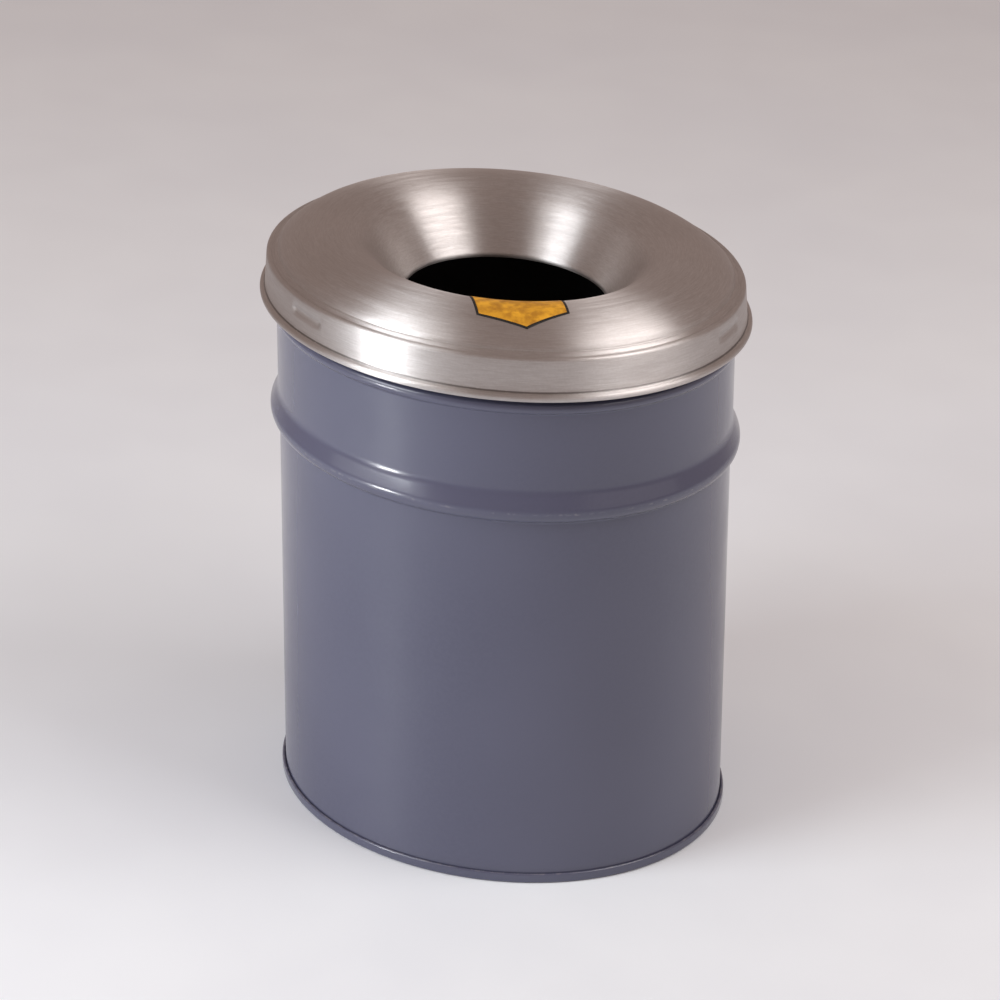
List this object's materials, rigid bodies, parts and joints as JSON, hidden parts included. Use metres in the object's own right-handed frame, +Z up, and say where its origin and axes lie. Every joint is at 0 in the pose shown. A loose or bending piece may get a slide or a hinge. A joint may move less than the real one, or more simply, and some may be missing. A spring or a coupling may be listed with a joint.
{
  "type": "self-extinguishing waste can",
  "caption": "Round smothering waste can: painted steel drum with a swell below its neck, and a lift-off spun aluminium funnel head with an open round mouth.",
  "frame": {"origin": "middle of the base, on the plane that the can stands on", "axes": "+Z up along the can's axis, -Y towards the front, where the label lies"},
  "size_m": [0.3076, 0.3076, 0.3793],
  "materials": {
    "grey_paint": "semi-gloss",
    "spun_aluminium": "spun, fine circular grain",
    "seam_sealant": "matt",
    "label_black": "printed film",
    "label_yellow": "printed film"
  },
  "bodies": {
    "drum": {"drum_shell": "grey_paint", "drum_side_weld": "grey_paint", "drum_bottom": "grey_paint", "base_seam_sealant": "seam_sealant"},
    "head": {"head_shell": "spun_aluminium", "label_backing": "label_black", "label_face": "label_yellow"}
  },
  "joints": [
    {"name": "head_lift", "type": "slide", "parent": "drum", "child": "head", "axis": [0, 0, 1], "range_m": [0, 0.08]}
  ]
}
